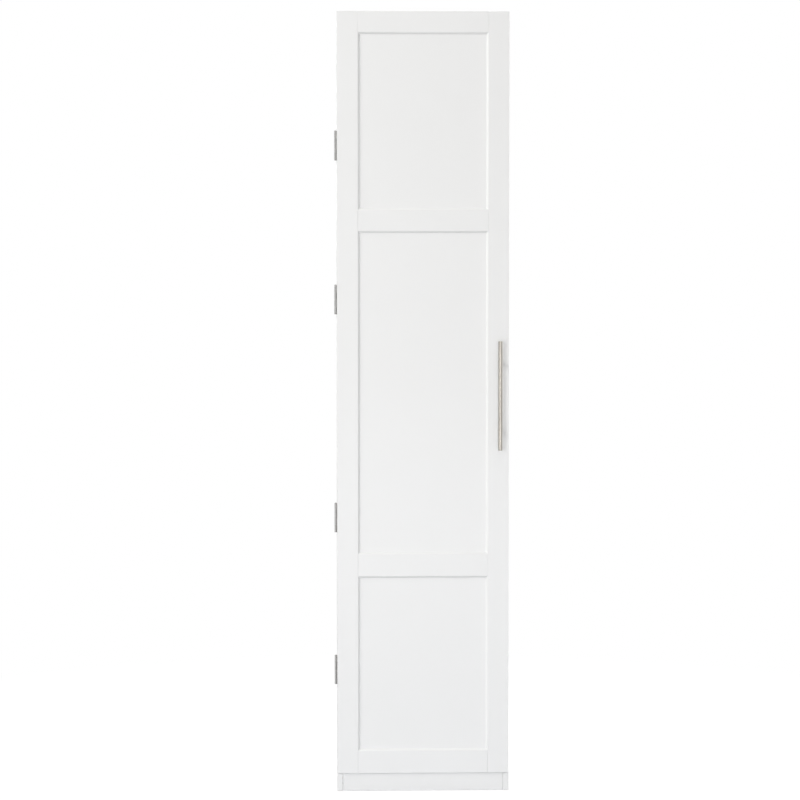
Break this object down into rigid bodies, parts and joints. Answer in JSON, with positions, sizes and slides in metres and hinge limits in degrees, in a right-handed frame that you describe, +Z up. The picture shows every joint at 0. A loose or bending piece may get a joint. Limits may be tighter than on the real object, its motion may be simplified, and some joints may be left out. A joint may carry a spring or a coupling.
{
  "type": "broom cupboard",
  "caption": "Tall narrow white broom cupboard: full-height framed and panelled door on butt hinges, bar handle, broom bay, narrow adjustable shelves and upper compartments.",
  "frame": {"origin": "on the floor, below the middle of the overall depth (handle to rear edge) and of the carcass width", "axes": "+Z up, the door faces -Y, +X to the right of a person facing the door"},
  "size_m": [0.5069, 0.4352, 2.266],
  "materials": {
    "white_board": "satin white melamine on particle board",
    "back_board": "white-faced hardboard",
    "door_paint": "satin white lacquer on fibreboard",
    "hinge_steel": "zinc-plated steel",
    "handle_steel": "brushed nickel",
    "zinc_fittings": "die-cast zinc",
    "screw_steel": "zinc-plated steel",
    "dowel_wood": "plain beech",
    "glide_plastic": "matte",
    "catch_plastic": "matte white",
    "magnet_ferrite": "sintered ferrite",
    "bumper_rubber": "soft translucent"
  },
  "bodies": {
    "carcass": {"side_panel_left": "white_board", "side_panel_right": "white_board", "top_panel": "white_board", "bottom_panel": "white_board", "fixed_shelf": "white_board", "divider": "white_board", "plinth_side_left": "white_board", "plinth_side_right": "white_board", "plinth_front": "white_board", "plinth_rear": "white_board", "back_panel_lower": "back_board", "back_panel_upper": "back_board", "upper_shelf": "white_board", "side_shelf_1": "white_board", "side_shelf_2": "white_board", "side_shelf_3": "white_board", "side_shelf_4": "white_board", "shelf_pins": "zinc_fittings", "cam_locks": "zinc_fittings", "cam_bolts": "zinc_fittings", "wood_dowels": "dowel_wood", "divider_screws": "screw_steel", "back_panel_nails": "screw_steel", "floor_glides": "glide_plastic", "wall_bracket_left": "hinge_steel", "wall_bracket_right": "hinge_steel", "wall_bracket_screws": "screw_steel", "hinge_bottom_carcass_leaf": "hinge_steel", "hinge_lower_carcass_leaf": "hinge_steel", "hinge_upper_carcass_leaf": "hinge_steel", "hinge_top_carcass_leaf": "hinge_steel", "hinge_screws_carcass": "screw_steel", "catch_housing_lower": "catch_plastic", "catch_housing_upper": "catch_plastic", "catch_magnets": "magnet_ferrite", "catch_pole_plates": "hinge_steel", "catch_screws": "screw_steel", "door_bumpers": "bumper_rubber"},
    "door": {"door_stile_left": "door_paint", "door_stile_right": "door_paint", "door_rail_bottom": "door_paint", "door_rail_lower": "door_paint", "door_rail_upper": "door_paint", "door_rail_top": "door_paint", "door_panel_bottom": "door_paint", "door_panel_middle": "door_paint", "door_panel_top": "door_paint", "panel_beads": "door_paint", "hinge_bottom_door_leaf": "hinge_steel", "hinge_lower_door_leaf": "hinge_steel", "hinge_upper_door_leaf": "hinge_steel", "hinge_top_door_leaf": "hinge_steel", "hinge_pins": "hinge_steel", "hinge_screws_door": "screw_steel", "handle_bar": "handle_steel", "handle_posts": "handle_steel", "handle_screws": "screw_steel", "catch_strike_plates": "hinge_steel", "strike_plate_screws": "screw_steel"}
  },
  "joints": [
    {"name": "door_swing", "type": "hinge", "parent": "carcass", "child": "door", "pos_m": [-0.25365, -0.161, 1.12], "axis": [0, 0, -1], "range_deg": [0, 180]}
  ]
}
